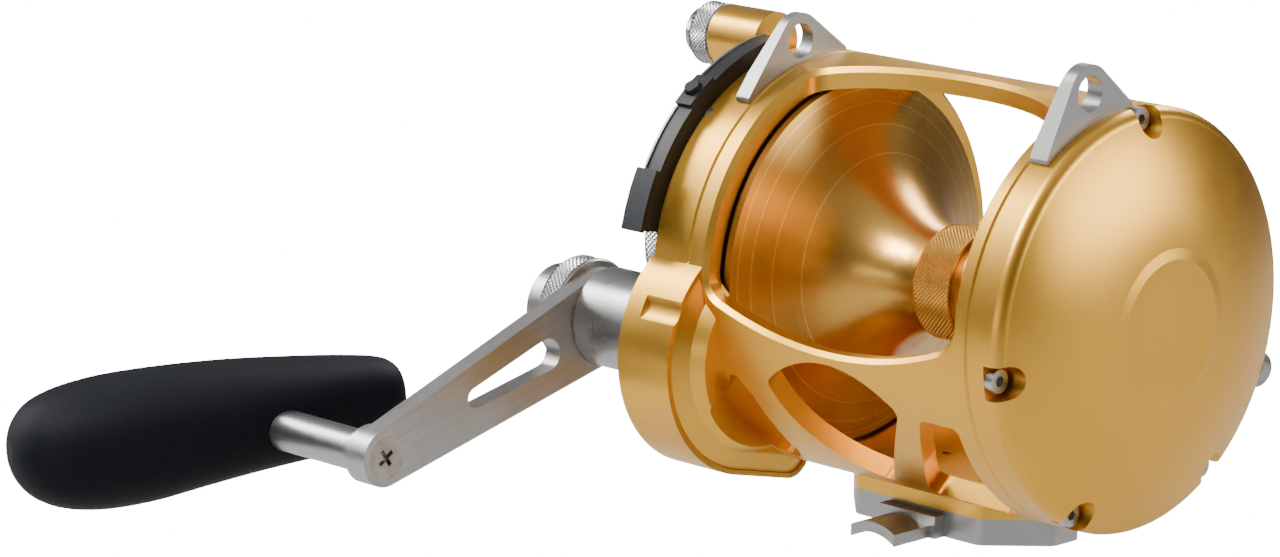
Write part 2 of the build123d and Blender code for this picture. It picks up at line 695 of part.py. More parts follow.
def drag_lever():
    """Lever hub, arm and the gold barrel that the thumb pushes."""
    tip = polar(LEVER_REACH, LEVER_ANGLE)
    body = hull_slab([(0, 0, 13.0), (*tip, 5.6)], *LEVER_X)
    body += turned([(LEVER_X[1], 0), (LEVER_X[1], 19.5), (-86.5, 19.5), (-87.7, 18.2), (-87.7, 0)])
    body += rod(LEVER_KNOB_R, -92.0, BARREL_END_X, tip)
    body -= rod(SHAFT_R + CLEAR, -95, -70)
    for turn in (-60, 120):
        body -= rod(1.1, BARREL_END_X - 3, BARREL_END_X + 1, polar(5.6, turn, tip))
    return body


def lever_thumb_knob():
    tip = polar(LEVER_REACH, LEVER_ANGLE)
    return turned([(-92.2, 0), (-92.2, 8.8), (-92.7, 9.3), (-99.4, 9.3), (-100.4, 7.6), (-103.0, 7.0),
                   (-103.8, 6.0), (-103.8, 0)], tip)


def quadrant():
    body = ring(QUADRANT_R[0], QUADRANT_R[1], *QUADRANT_X) & wedge(*QUADRANT_ANGLES, -80, -60)
    for angle in QUADRANT_SCREW_ANGLES:
        spot = polar(QUADRANT_SCREW_R, angle)
        body -= rod(1.6, -80, -60, spot)
        body -= rod(3.1, -80, QUADRANT_X[0] + 2.0, spot)
    body -= radial_rod(2.8, 59.6, 70, STRIKE_ANGLE, STRIKE_X, sides=6)
    return body


STRIKE_X = -69.8


def quadrant_edge_strip():
    """Thin bright strip round the quadrant's rim."""
    strip = ring(QUADRANT_R[0] + 0.5, QUADRANT_R[0], QUADRANT_X[0], QUADRANT_X[0] + 0.8)
    return strip & (wedge(QUADRANT_ANGLES[0], STRIKE_ANGLE - 5.5, -80, -60)
                    + wedge(STRIKE_ANGLE + 5.5, BUMPER_ANGLES[0] - 0.5, -80, -60))


BUMPER_ANGLES = (62, 78)
BUMPER_R = 64.8
BUMPER_FACE_X = -74.6
STOP_R = 64.8


def quadrant_bumper():
    """Rubber block over the quadrant's lower end."""
    block = ring(BUMPER_R, QUADRANT_R[0], BUMPER_FACE_X, PLATE_FACE_X) & wedge(*BUMPER_ANGLES, -80, -60)
    block += ring(BUMPER_R, 50, BUMPER_FACE_X, QUADRANT_X[0]) & wedge(*BUMPER_ANGLES, -80, -60)
    return block - joined(rod(3.6, -80, -60, polar(QUADRANT_SCREW_R, a)) for a in QUADRANT_SCREW_ANGLES)


def strike_stop():
    """Raised block at the strike setting, with the button's guide hole."""
    block = ring(STOP_R, QUADRANT_R[0], *QUADRANT_X) & wedge(STRIKE_ANGLE - 5, STRIKE_ANGLE + 5, -80, -60)
    return block - radial_rod(2.8, 60, 70, STRIKE_ANGLE, STRIKE_X, sides=6)


def strike_button():
    return radial_rod(2.5, 61.4, STOP_R + 1.6, STRIKE_ANGLE, STRIKE_X, sides=6)


def quadrant_screws():
    return joined(socket_screw(2.9, 1.9, 1.5, QUADRANT_X[0], PLATE_FACE_X + 5.5,
                               polar(QUADRANT_SCREW_R, a), 1.2) for a in QUADRANT_SCREW_ANGLES)


def preset_knob():
    """Knurled knob that sets the drag's strike force."""
    body = turned([(PRESET_X[1], 0), (PRESET_X[1], 18.0), (PRESET_X[1] - 2.6, 18.0), (PRESET_X[1] - 2.6, 25.6),
                   (PRESET_X[1] - 3.8, PRESET_R),
                   (PRESET_X[0] + 1.4, PRESET_R), (PRESET_X[0], 25.2), (PRESET_X[0], 0)])
    body -= rod(SHAFT_R + RUNNING, -99.8, -80)
    return body - rod(15.0, -110, PRESET_X[0] + 1.0)


def preset_cap():
    return turned([(PRESET_X[0] + 1.0, 0), (PRESET_X[0] + 1.0, 15.0), (PRESET_X[0] - 0.2, 15.0),
                   (PRESET_X[0] - 0.8, 14.0), (PRESET_X[0] - 0.8, 0)])


# ---------------------------------------------------------------- harness lugs
PLAIN_LUG = (52.0, 58.0, 16.5, 67.3, (2.5, 36.0))  # x, x, angle and reach of the hole, angles of the feet
HANDLE_LUG = (-58.4, -53.4, 12.0, 65.3, (-4.0, 34.0))
LUG_TIP = 8.0
LUG_FOOT_R = 59.6
LUG_LEAN = 2.2  # how much thinner the lug is at its tip


def harness_lug(x0, x1, middle, reach, feet):
    """Triangular lug on the rim, thinner towards its tip; its hole runs along X."""
    eye = polar(reach, middle)
    body = hull_slab([(*eye, LUG_TIP)] + [(*polar(LUG_FOOT_R, angle), 1.2) for angle in feet], x0, x1)
    y, z = polar(1, middle)
    plane = Plane(origin=(0, 0, 0), x_dir=(1, 0, 0), z_dir=(0, -z, y))
    low, high = LUG_FOOT_R + 1.4, reach + LUG_TIP
    slope = make_face(Polyline((x0 - 5, low), (x0, low), (x0 + LUG_LEAN, high + 1), (x0 - 5, high + 1),
                               close=True))
    body -= extrude(plane * slope, 30, both=True)
    body -= rod(PLATE_R, x0 - 1, x1 + 1)
    body -= rod(LUG_HOLE_R, x0 - 1, x1 + 1, eye)
    return body - lug_pins()


def lug_pins():
    """Dowels that hold each lug's feet to the rim below it."""
    pins = []
    for x0, x1, _, _, feet in (PLAIN_LUG, HANDLE_LUG):
        for angle in (feet[0] + 4, feet[1] - 4):
            pins.append(radial_rod(1.3, 55.5, 60.0, angle, (x0 + x1) / 2 + 0.4))
    return joined(pins)


# ---------------------------------------------------------------- foot
def foot_tab(side):
    """Arched tongue that slides under the rod's hood."""
    radius, rise, thick = 14.0, 2.5, 3.0
    centre_z = -AXIS_Z + rise - radius
    arch = Pos(0, side * 27, centre_z) * Rot(90, 0, 0) * Cylinder(radius + thick, 22)
    arch -= Pos(0, side * 27, centre_z) * Rot(90, 0, 0) * Cylinder(radius, 30)
    return arch & (Pos(0, side * 27, -AXIS_Z + 5) * Box(16.4, 22, 10))


def reel_foot():
    body = foot_plate(-AXIS_Z, FOOT_TOP_Z, corner=4.0)
    for side in (-1, 1):
        body += foot_tab(side)
        body += Pos(0, side * 21, -AXIS_Z + 3.2) * Box(21, 6, 6.4) - Pos(0, side * 27, -AXIS_Z - 11.5) * Rot(
            90, 0, 0) * Cylinder(14.0, 14)
    for x in (-1, 1):
        for y in (-1, 1):
            body -= Pos(x * STUD_SPACING[0] / 2, y * STUD_SPACING[1] / 2, -63) * Cylinder(STUD_HOLE_R, 20)
    for x, y in FOOT_SCREWS:
        body -= Pos(x, y, -AXIS_Z + 1.05) * Cone(4.2, FOOT_SCREW_R, 2.1)
        body -= Pos(x, y, -62) * Cylinder(FOOT_SCREW_R, 12)
    return body


STUD_HOLE_R = 2.6


def foot_screws():
    return joined(flat_screw_z(x, y, -AXIS_Z + 0.2, 3.8, FOOT_SCREW_R, 13.0) for x, y in FOOT_SCREWS)


# ---------------------------------------------------------------- write the parts
PARTS = {
    "frame": frame,
    "plain_side_cover": plain_side_cover,
    "cover_screws": cover_screws,
    "handle_side_plate": handle_side_plate,
    "handle_plate_screws": handle_plate_screws,
    "bridge_plate": bridge_plate,
    "bridge_screws": bridge_screws,
    "harness_lug_plain_side": lambda: harness_lug(*PLAIN_LUG),
    "harness_lug_handle_side": lambda: harness_lug(*HANDLE_LUG),
    "lug_pins": lug_pins,
    "reel_foot": reel_foot,
    "foot_screws": foot_screws,
    "spool": spool,
    "spool_bearings": spool_bearings,
    "spool_shaft": spool_shaft,
    "drag_washer": drag_washer,
    "drag_plate": drag_plate,
    "belleville_washers": belleville_washers,
    "pinion_high": pinion_high,
    "pinion_low": pinion_low,
    "pinion_bearing": pinion_bearing,
    "main_gear_high": main_gear_high,
    "main_gear_low": main_gear_low,
    "crank_shaft": crank_shaft,
    "crank_inner_bearing": crank_inner_bearing,
    "crank_outer_bearing": crank_outer_bearing,
    "anti_reverse_ratchet": anti_reverse_ratchet,
    "upper_pawl": lambda: pawl(PAWL_SIDES[0]),
    "lower_pawl": lambda: pawl(PAWL_SIDES[1]),
    "pawl_pins": pawl_pins,
    "pawl_springs": pawl_springs,
    "crank_hub": crank_hub,
    "crank_arm": crank_arm,
    "hub_nut_ring": hub_nut_ring,
    "shift_button": shift_button,
    "shift_rod": shift_rod,
    "arm_screw": arm_screw,
    "grip_stem": grip_stem,
    "grip": grip,
    "grip_bearings": grip_bearings,
    "grip_circlip": grip_circlip,
    "drag_cam": drag_cam,
    "drag_lever": drag_lever,
    "lever_thumb_knob": lever_thumb_knob,
    "quadrant": quadrant,
    "quadrant_edge_strip": quadrant_edge_strip,
    "quadrant_bumper": quadrant_bumper,
    "strike_stop": strike_stop,
    "strike_button": strike_button,
    "quadrant_screws": quadrant_screws,
    "preset_knob": preset_knob,
    "preset_cap": preset_cap,
    "click_ratchet": click_ratchet,
    "click_button": click_button,
    "click_pawl": click_pawl,
}

for name, make in PARTS.items():
    export_step(Pos(0, 0, AXIS_Z) * make(), f"parts/{name}.step")
print(len(PARTS), "parts written")
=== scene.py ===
# %% [markdown]
# A lever-drag trolling reel.  The CAD model holds every size, so this lesson starts by
# loading it and reading the places that later steps need: the spool's axis, the crank's
# axis and the grip stem's axis.  Nothing here moves or resizes a CAD part.

# %% Load the frame
import math

import bpy
from mathutils import Matrix, Vector


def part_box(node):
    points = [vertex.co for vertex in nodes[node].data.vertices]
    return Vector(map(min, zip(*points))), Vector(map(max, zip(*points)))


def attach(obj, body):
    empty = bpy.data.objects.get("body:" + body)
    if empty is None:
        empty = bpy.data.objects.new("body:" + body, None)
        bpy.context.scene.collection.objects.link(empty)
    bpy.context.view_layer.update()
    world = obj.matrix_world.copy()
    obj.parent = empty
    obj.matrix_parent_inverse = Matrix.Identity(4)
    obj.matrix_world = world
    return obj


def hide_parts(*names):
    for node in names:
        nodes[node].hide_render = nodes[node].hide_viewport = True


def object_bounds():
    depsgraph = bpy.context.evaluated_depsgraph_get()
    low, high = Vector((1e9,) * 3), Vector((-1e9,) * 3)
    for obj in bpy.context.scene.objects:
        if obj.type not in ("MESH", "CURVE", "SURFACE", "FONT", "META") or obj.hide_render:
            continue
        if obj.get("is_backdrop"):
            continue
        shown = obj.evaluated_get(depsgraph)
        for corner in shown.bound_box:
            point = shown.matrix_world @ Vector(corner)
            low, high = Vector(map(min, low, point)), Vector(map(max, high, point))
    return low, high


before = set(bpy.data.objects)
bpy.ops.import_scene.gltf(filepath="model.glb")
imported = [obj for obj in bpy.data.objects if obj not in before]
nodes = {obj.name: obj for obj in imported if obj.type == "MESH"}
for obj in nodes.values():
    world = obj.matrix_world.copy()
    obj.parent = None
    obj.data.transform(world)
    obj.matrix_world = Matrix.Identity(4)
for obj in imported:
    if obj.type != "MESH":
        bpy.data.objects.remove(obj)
cad_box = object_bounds()
MM = 0.001
print(len(nodes), "CAD nodes, box", [tuple(round(v, 4) for v in corner) for corner in cad_box])


# %% Places read from the frame
def axis_of(node):
    """The (y, z) middle of a node that is round about X."""
    low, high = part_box(node)
    return ((low.y + high.y) / 2, (low.z + high.z) / 2)


def ends_of(node):
    """The node's lowest and highest x."""
    low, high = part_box(node)
    return low.x, high.x


SPOOL_AXIS = axis_of("preset_knob")
CRANK_AXIS = axis_of("crank_hub")
STEM_AXIS = axis_of("grip_stem")
THUMB_AXIS = axis_of("lever_thumb_knob")
print("spool axis", SPOOL_AXIS, "crank axis", CRANK_AXIS, "stem axis", STEM_AXIS)

# %% [markdown]
# A product picture is taken from a fixed stand.  The camera looks from the front right,
# a little above the reel, through a long lens, so the near cover isn't swollen by
# perspective.  Azimuth, elevation and roll make its three axes, and the lens is set from
# the field that the reel has to fill.

# %% Camera
AZIMUTH, ELEVATION, ROLL = (math.radians(a) for a in (45.38, 12.6, 0.51))
STAND_POINT = Vector((0.8739, -0.9917, 0.2958 + SPOOL_AXIS[1]))
SENSOR_MM, LENS_MM = 36.0, 135.97

back = Vector((math.sin(AZIMUTH) * math.cos(ELEVATION), -math.cos(AZIMUTH) * math.cos(ELEVATION),
               math.sin(ELEVATION)))
level_right = Vector((math.cos(AZIMUTH), math.sin(AZIMUTH), 0))
level_up = back.cross(level_right)
right = level_right * math.cos(ROLL) + level_up * math.sin(ROLL)
up = back.cross(right)

camera = bpy.data.objects.new("camera", bpy.data.cameras.new("camera"))
bpy.context.scene.collection.objects.link(camera)
camera.matrix_world = Matrix.Translation(STAND_POINT) @ Matrix((right, up, back)).transposed().to_4x4()
camera.data.sensor_width = SENSOR_MM
camera.data.lens = LENS_MM
camera.data.clip_start, camera.data.clip_end = 0.05, 60
bpy.context.scene.camera = camera
print("camera at", tuple(round(v, 3) for v in camera.location))

# %% [markdown]
# Satin metal shows its surroundings, so the light matters as much as the material.  Large
# soft panels give long smooth highlights, and darker gaps between them give the brown
# shadows that tell the eye that this is gold-coloured metal and not yellow paint.  The
# floor and the backdrop glow white for the camera only, so the metal reflects a calmer,
# darker room than the one in the picture.

# %% Floor and lights
FLOOR_GAP = 0.115  # a reel is used on a rod, so the floor lies below the crank's whole sweep
FLOOR_HALF = 6.0
WHITE_GLOW = 16.0  # bright enough that the camera sees a clean white
floor_z = cad_box[0].z - FLOOR_GAP


def plain_finish(name, colour, roughness):
    made = bpy.data.materials.new(name)
    made.use_nodes = True
    shader = made.node_tree.nodes["Principled BSDF"]
    shader.inputs["Base Color"].default_value = (*colour, 1)
    shader.inputs["Roughness"].default_value = roughness
    return made


def panel(name, place, target, size, watts):
    """A soft rectangular light that faces its target."""
    data = bpy.data.lights.new(name, "AREA")
    data.shape = "RECTANGLE"
    data.size, data.size_y = size
    data.energy = watts
    light = bpy.data.objects.new(name, data)
    bpy.context.scene.collection.objects.link(light)
    light.location = place
    light.rotation_mode = "QUATERNION"
    light.rotation_quaternion = (Vector(target) - Vector(place)).to_track_quat("-Z", "Y")
    return light


floor_mesh = bpy.data.meshes.new("floor")
corners = [(-1, -1), (1, -1), (1, 1), (-1, 1)]
floor_mesh.from_pydata([(x * FLOOR_HALF, y * FLOOR_HALF, floor_z) for x, y in corners], [], [(0, 1, 2, 3)])
floor = bpy.data.objects.new("floor", floor_mesh)
bpy.context.scene.collection.objects.link(floor)
pale = plain_finish("pale_floor", (0.42, 0.42, 0.42), 0.7)
floor_tree = pale.node_tree
floor_seen = floor_tree.nodes.new("ShaderNodeLightPath")
floor_lift = floor_tree.nodes.new("ShaderNodeMix")
floor_lift.data_type = "RGBA"
floor_tree.links.new(floor_seen.outputs["Is Camera Ray"], floor_lift.inputs["Factor"])
floor_lift.inputs[6].default_value = (0, 0, 0, 1)
floor_lift.inputs[7].default_value = (1, 1, 1, 1)
floor_shader = floor_tree.nodes["Principled BSDF"]
floor_tree.links.new(floor_lift.outputs[2], floor_shader.inputs["Emission Color"])
floor_shader.inputs["Emission Strength"].default_value = WHITE_GLOW
floor_mesh.materials.append(pale)
floor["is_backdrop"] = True

middle = (cad_box[0] + cad_box[1]) / 2
panel("key_panel", (-0.10, -0.85, 1.15), middle, (0.7, 0.5), 36)
panel("side_panel", (1.20, 0.70, 0.42), middle, (0.9, 0.55), 11.5)
panel("rear_panel", (-0.35, 1.05, 0.95), middle, (0.9, 0.45), 17)
panel("left_panel", (-1.20, -0.48, 0.72), middle, (0.4, 1.1), 23)
panel("low_panel", (0.30, -1.25, 0.16), middle, (0.9, 0.14), 1.5)

world = bpy.data.worlds.new("studio")
bpy.context.scene.world = world
world.use_nodes = True
sky = world.node_tree
background = sky.nodes["Background"]
seen = sky.nodes.new("ShaderNodeLightPath")
height = sky.nodes.new("ShaderNodeTexCoord")
height_z = sky.nodes.new("ShaderNodeSeparateXYZ")
shade = sky.nodes.new("ShaderNodeValToRGB")
both = sky.nodes.new("ShaderNodeMix")
both.data_type = "RGBA"
shade.color_ramp.elements[0].position = 0.35
shade.color_ramp.elements[0].color = (0.10, 0.095, 0.09, 1)
shade.color_ramp.elements[1].position = 0.9
shade.color_ramp.elements[1].color = (0.62, 0.63, 0.65, 1)
sky.links.new(height.outputs["Generated"], height_z.inputs[0])
sky.links.new(height_z.outputs["Z"], shade.inputs["Fac"])
sky.links.new(seen.outputs["Is Camera Ray"], both.inputs["Factor"])
sky.links.new(shade.outputs["Color"], both.inputs[6])
both.inputs[7].default_value = (WHITE_GLOW, WHITE_GLOW, WHITE_GLOW, 1)
sky.links.new(both.outputs[2], background.inputs["Color"])
print("floor at", round(floor_z, 4), "and 5 light panels")

# %% [markdown]
# Shader maths reads best as an expression.  `Wire` wraps one output socket and turns
# Python's operators into Math nodes, and `Finish` is a material under construction with a
# single method that adds any other node.

# %% Wires and finishes
class Wire:
    """One output socket of a material, with the operators that this lesson uses."""

    def __init__(self, finish, socket):
        self.finish = finish
        self.socket = socket

    def math(self, operation, *others, clamp=False):
        sockets = dict(enumerate((self, *others)))
        return self.finish.node("ShaderNodeMath", {"operation": operation, "use_clamp": clamp}, sockets)

    def __add__(self, other):
        return self.math("ADD", other)

    def __sub__(self, other):
        return self.math("SUBTRACT", other)

    def __mul__(self, other):
        return self.math("MULTIPLY", other)

    def __pow__(self, other):
        return self.math("POWER", other)

    def __rsub__(self, other):
        return self.finish.node("ShaderNodeMath", {"operation": "SUBTRACT"}, {0: other, 1: self})

    __radd__ = __add__
    __rmul__ = __mul__

    def fade(self, low, high):
        """0 below low, 1 above high, smooth between."""
        return self.finish.node("ShaderNodeMapRange", {"interpolation_type": "SMOOTHSTEP"},
                                {"Value": self, "From Min": low, "From Max": high})


class Finish:
    """A Principled material and the tree that feeds it."""

    def __init__(self, name, colour, metallic, roughness, **constants):
        self.material = bpy.data.materials.new(name)
        self.material.use_nodes = True
        self.tree = self.material.node_tree
        self.shader = self.tree.nodes["Principled BSDF"]
        self.feed(self.shader.inputs["Base Color"], (*colour, 1))
        self.feed(self.shader.inputs["Metallic"], metallic)
        self.feed(self.shader.inputs["Roughness"], roughness)
        for key, value in constants.items():
            self.feed(self.shader.inputs[key.replace("_", " ")], value)

    def feed(self, socket, value):
        if isinstance(value, Wire):
            self.tree.links.new(value.socket, socket)
        else:
            socket.default_value = value

    def node(self, kind, settings=None, sockets=None, output=0):
        made = self.tree.nodes.new(kind)
        for key, value in (settings or {}).items():
            if key == "stops":
                for stop, (position, colour) in zip(made.color_ramp.elements, value):
                    stop.position, stop.color = position, (*colour, 1)
            else:
                setattr(made, key, value)
        for key, value in (sockets or {}).items():
            self.feed(made.inputs[key], value)
        return Wire(self, made.outputs[output])

    def place(self):
        """Position on the piece, in metres, as x, y and z."""
        spot = self.node("ShaderNodeTexCoord", output="Object")
        return [self.node("ShaderNodeSeparateXYZ", {}, {0: spot}, output=i) for i in range(3)]

    def spot(self):
        return self.node("ShaderNodeTexCoord", output="Object")

    def join(self, x, y, z=0.0):
        return self.node("ShaderNodeCombineXYZ", {}, {0: x, 1: y, 2: z})

    def noise(self, vector, scale, detail=2.0, roughness=0.5):
        return self.node("ShaderNodeTexNoise", {},
                         {"Vector": vector, "Scale": scale, "Detail": detail, "Roughness": roughness})

    def blend(self, factor, first, second):
        def colour(value):
            return value if isinstance(value, Wire) else (*value, 1)
        return self.node("ShaderNodeMix", {"data_type": "RGBA"},
                         {0: factor, 6: colour(first), 7: colour(second)}, output=2)

    def bump(self, height, distance, strength):
        normal = self.node("ShaderNodeBump", {}, {"Height": height, "Distance": distance, "Strength": strength})
        self.feed(self.shader.inputs["Normal"], normal)

    def set(self, name, value):
        self.feed(self.shader.inputs[name], value)


def reach_from(finish, axis):
    """The x, and the distance from an axis that runs along X."""
    x, y, z = finish.place()
    across, above = y - axis[0], z - axis[1]
    return x, (across * across + above * above) ** 0.5


print("wires and finishes are ready")

# %% [markdown]
# Anodised aluminium starts as turned or milled metal.  The cutter leaves very fine rings
# round the axis that the part was turned on, the etch bath leaves an even satin grain, and
# the dye sits in that skin.  So one function makes every anodised finish: rings that
# follow the distance from an axis, grain, and faint uneven patches in the sheen.

# %% Anodised aluminium
GOLD = (0.84, 0.465, 0.075)
GOLD_DEEP = (0.72, 0.375, 0.05)
GOLD_PALE = (0.90, 0.60, 0.20)
SILVER = (0.42, 0.415, 0.41)
SILVER_DEEP = (0.34, 0.332, 0.325)
SILVER_PALE = (0.44, 0.43, 0.42)
RING_DENSITY = 2600.0  # rings per metre of radius
GRAIN_DENSITY = 5200.0


def anodised(name, axis, base, deep, roughness, rings, grain=0.35):
    """Satin skin; `rings` is how strongly the turned lines show."""
    made = Finish(name, base, 1.0, roughness)
    x, reach = reach_from(made, axis)
    spot = made.spot()
    lines = made.noise(made.join(x * RING_DENSITY, reach * RING_DENSITY), 1.0, 3.0, 0.65)
    fine = made.noise(spot, GRAIN_DENSITY, 2.0, 0.6)
    patches = made.noise(spot, 38.0, 3.0, 0.55)
    made.set("Base Color", made.blend((patches * 0.55 + lines * 0.45 * rings).fade(0.25, 0.8), deep, base))
    made.set("Roughness", roughness + (patches - 0.5) * 0.10 + (lines - 0.5) * 0.16 * rings
             + (fine - 0.5) * 0.06)
    made.bump(lines * rings + fine * grain, 0.00006, 0.35)
    return made


gold_body = anodised("gold_body", SPOOL_AXIS, GOLD, GOLD_DEEP, 0.33, 0.35)
gold_cover = anodised("gold_cover", SPOOL_AXIS, GOLD, GOLD_DEEP, 0.33, 0.25)
gold_lever = anodised("gold_lever", THUMB_AXIS, GOLD, GOLD_DEEP, 0.30, 0.7)
silver_lug = anodised("silver_lug", SPOOL_AXIS, SILVER, SILVER_DEEP, 0.36, 0.2)
silver_hub = anodised("silver_hub", CRANK_AXIS, SILVER, SILVER_DEEP, 0.30, 0.9)
silver_stem = anodised("silver_stem", STEM_AXIS, SILVER, SILVER_DEEP, 0.32, 0.8)
silver_preset = anodised("silver_preset", SPOOL_AXIS, SILVER, SILVER_DEEP, 0.28, 0.7)
silver_thumb = anodised("silver_thumb", THUMB_AXIS, SILVER, SILVER_DEEP, 0.28, 0.7)
print("8 anodised finishes")

# %% [markdown]
# The spool is polished more than the frame, because line runs over it, and the lathe
# leaves a few deliberate witness lines on each flange.  They are thin, so they are drawn
# from the distance to the axis and not modelled.

# %% Spool finish
WITNESS_RADII = (0.0500, 0.0462, 0.0402, 0.0325)
WITNESS_HALF_WIDTH = 0.00030


def polished_spool():
    # The spool's base and deep golds are darker than the frame's gold. This is partly the spool's own tone and
    # partly painted shade for the inside of the spool, where the bar blocks the light.
    made = anodised("gold_spool", SPOOL_AXIS, (0.72, 0.41, 0.10), (0.60, 0.325, 0.07), 0.29, 0.3, grain=0.2)
    _, reach = reach_from(made, SPOOL_AXIS)
    lines = None
    for radius in WITNESS_RADII:
        line = 1 - (reach - radius).math("ABSOLUTE").fade(0.0, WITNESS_HALF_WIDTH)
        lines = line if lines is None else lines + line
    colour = made.shader.inputs["Base Color"].links[0].from_socket
    made.set("Base Color", made.blend(lines * 0.75, Wire(made, colour), GOLD_PALE))
    return made


gold_spool = polished_spool()
print("spool finish with", len(WITNESS_RADII), "witness lines")

# %% [markdown]
# The crank arm is milled from plate and brushed along its length before it is anodised,
# so its lines are straight and run from the hub to the eye.

# %% Brushed arm
ARM_LEAN = math.atan2(STEM_AXIS[1] - CRANK_AXIS[1], STEM_AXIS[0] - CRANK_AXIS[0])


def brushed_arm():
    made = Finish("silver_arm", SILVER, 1.0, 0.34)
    x, y, z = made.place()
    across = z * math.cos(ARM_LEAN) - y * math.sin(ARM_LEAN)
    along = y * math.cos(ARM_LEAN) + z * math.sin(ARM_LEAN)
    brush = made.noise(made.join(across * 2600.0, along * 55.0, x * 2600.0), 1.0, 3.0, 0.6)
    patches = made.noise(made.spot(), 45.0, 2.0, 0.5)
    tone = (brush * 0.6 + patches * 0.4).fade(0.3, 0.75)
    made.set("Base Color", made.blend(tone, SILVER_DEEP, SILVER_PALE))
    made.set("Roughness", 0.30 + brush * 0.14)
    made.bump(brush, 0.00005, 0.3)
    return made


silver_arm = brushed_arm()
print("arm brushed at", round(math.degrees(ARM_LEAN), 1), "degrees")


# %% [markdown]
# Screws are stainless and darker than the anodised parts.  Gears, bearings and washers
# inside get the same family with their own tone, so that they hold up when a pose or a
# view through the frame shows them.

# %% Steel, carbon and plastics
def steel(name, axis, base, roughness):
    made = Finish(name, base, 1.0, roughness)
    x, reach = reach_from(made, axis)
    turned = made.noise(made.join(x * 3200.0, reach * 3200.0), 1.0, 2.0, 0.6)
    stain = made.noise(made.spot(), 160.0, 3.0, 0.6)
    made.set("Base Color", made.blend(stain.fade(0.35, 0.75), base, tuple(c * 0.72 for c in base)))
    made.set("Roughness", roughness + (turned - 0.5) * 0.18 + (stain - 0.5) * 0.12)
    made.bump(turned, 0.00004, 0.3)
    return made


def moulded(name, base, roughness, grain_size, depth, sheen):
    """Black plastic or rubber with a fine moulded grain and a faint handled sheen."""
    made = Finish(name, base, 0.0, roughness, Specular_IOR_Level=sheen)
    spot = made.spot()
    grain = made.node("ShaderNodeTexVoronoi", {"feature": "F1"}, {"Vector": spot, "Scale": 1 / grain_size})
    soft = made.noise(spot, 0.35 / grain_size, 3.0, 0.6)
    handled = made.noise(spot, 26.0, 3.0, 0.6)
    made.set("Base Color", made.blend(handled.fade(0.3, 0.75), base, tuple(c * 1.5 for c in base)))
    made.set("Roughness", roughness + (handled - 0.5) * 0.16 + (soft - 0.5) * 0.08)
    made.bump(grain * 0.6 + soft * 0.4, depth, 0.5)
    return made


def woven_carbon():
    made = Finish("carbon_face", (0.03, 0.03, 0.033), 0.0, 0.4)
    x, y, z = made.place()
    warp = (y * 1600.0).math("SINE") * (z * 1600.0).math("SINE")
    made.set("Base Color", made.blend(warp.fade(-0.4, 0.4), (0.018, 0.018, 0.02), (0.06, 0.06, 0.064)))
    made.set("Roughness", 0.35 + warp * 0.12)
    made.bump(warp, 0.00005, 0.4)
    return made


stainless = steel("stainless", SPOOL_AXIS, (0.47, 0.45, 0.42), 0.30)
stainless_arm_screw = steel("stainless_arm_screw", STEM_AXIS, (0.40, 0.35, 0.30), 0.30)
gear_steel = steel("gear_steel", CRANK_AXIS, (0.44, 0.43, 0.41), 0.26)
bearing_steel = steel("bearing_steel", SPOOL_AXIS, (0.58, 0.58, 0.59), 0.16)
carbon = woven_carbon()
black_plastic = moulded("black_plastic", (0.007, 0.007, 0.008), 0.40, 0.0006, 0.00004, 0.35)
bumper_rubber = moulded("bumper_rubber", (0.006, 0.007, 0.009), 0.55, 0.0007, 0.00006, 0.3)
grip_rubber = moulded("grip_rubber", (0.0018, 0.0024, 0.0042), 0.62, 0.0005, 0.00005, 0.10)
print("steels, carbon, plastic and rubbers")

# %% [markdown]
# Each CAD node already has the right shape, down to the chamfers round the windows, so it
# only needs its finish in its material slots.

# %% Finishes on the CAD nodes
WEARS = {
    gold_body: ["frame", "handle_side_plate", "bridge_plate"],
    gold_cover: ["plain_side_cover"],
    gold_lever: ["drag_lever"],
    gold_spool: ["spool"],
    silver_lug: ["harness_lug_plain_side", "harness_lug_handle_side", "reel_foot", "quadrant_edge_strip",
                 "click_button"],
    silver_hub: ["crank_hub", "hub_nut_ring", "shift_button"],
    silver_stem: ["grip_stem"],
    silver_preset: ["preset_knob", "preset_cap"],
    silver_thumb: ["lever_thumb_knob"],
    silver_arm: ["crank_arm"],
    stainless: ["cover_screws", "handle_plate_screws", "bridge_screws", "lug_pins", "foot_screws", "spool_shaft",
                "drag_plate", "belleville_washers", "crank_shaft", "pawl_pins", "pawl_springs", "shift_rod",
                "grip_circlip", "drag_cam", "quadrant_screws"],
    stainless_arm_screw: ["arm_screw"],
    gear_steel: ["pinion_high", "pinion_low", "main_gear_high", "main_gear_low", "anti_reverse_ratchet",
                 "upper_pawl", "lower_pawl", "click_ratchet", "click_pawl"],
    bearing_steel: ["spool_bearings", "pinion_bearing", "crank_inner_bearing", "crank_outer_bearing",
                    "grip_bearings"],
    carbon: ["drag_washer"],
    black_plastic: ["quadrant", "strike_stop", "strike_button"],
    bumper_rubber: ["quadrant_bumper"],
    grip_rubber: ["grip"],
}
for finish, names in WEARS.items():
    for name in names:
        piece = nodes[name]
        piece.data.materials.clear()
        piece.data.materials.append(finish.material)
dressed = sum(len(names) for names in WEARS.values())
assert dressed == len(nodes), "a CAD node has no finish"
print(dressed, "nodes dressed")

# %% [markdown]
# Knurling is cut by two wheels that roll crossing spiral grooves into a turned knob, and
# what stands between the grooves is a field of small pyramids.  They catch the light one
# by one and break up the outline, so they are modelled: a fine grid is wrapped round the
# axis, and each point's radius follows the lower of two crossing triangle waves.

# %% Turned pieces with knurled bands
SAMPLES_PER_DIAMOND = 6


def diamond(turn, along):
    """Height, 0 to 1, of a diamond knurl at a place counted in diamonds."""
    waves = [1 - abs(2 * ((turn + way * along) % 1.0) - 1) for way in (1, -1)]
    return min(min(waves) * 1.35, 1.0)


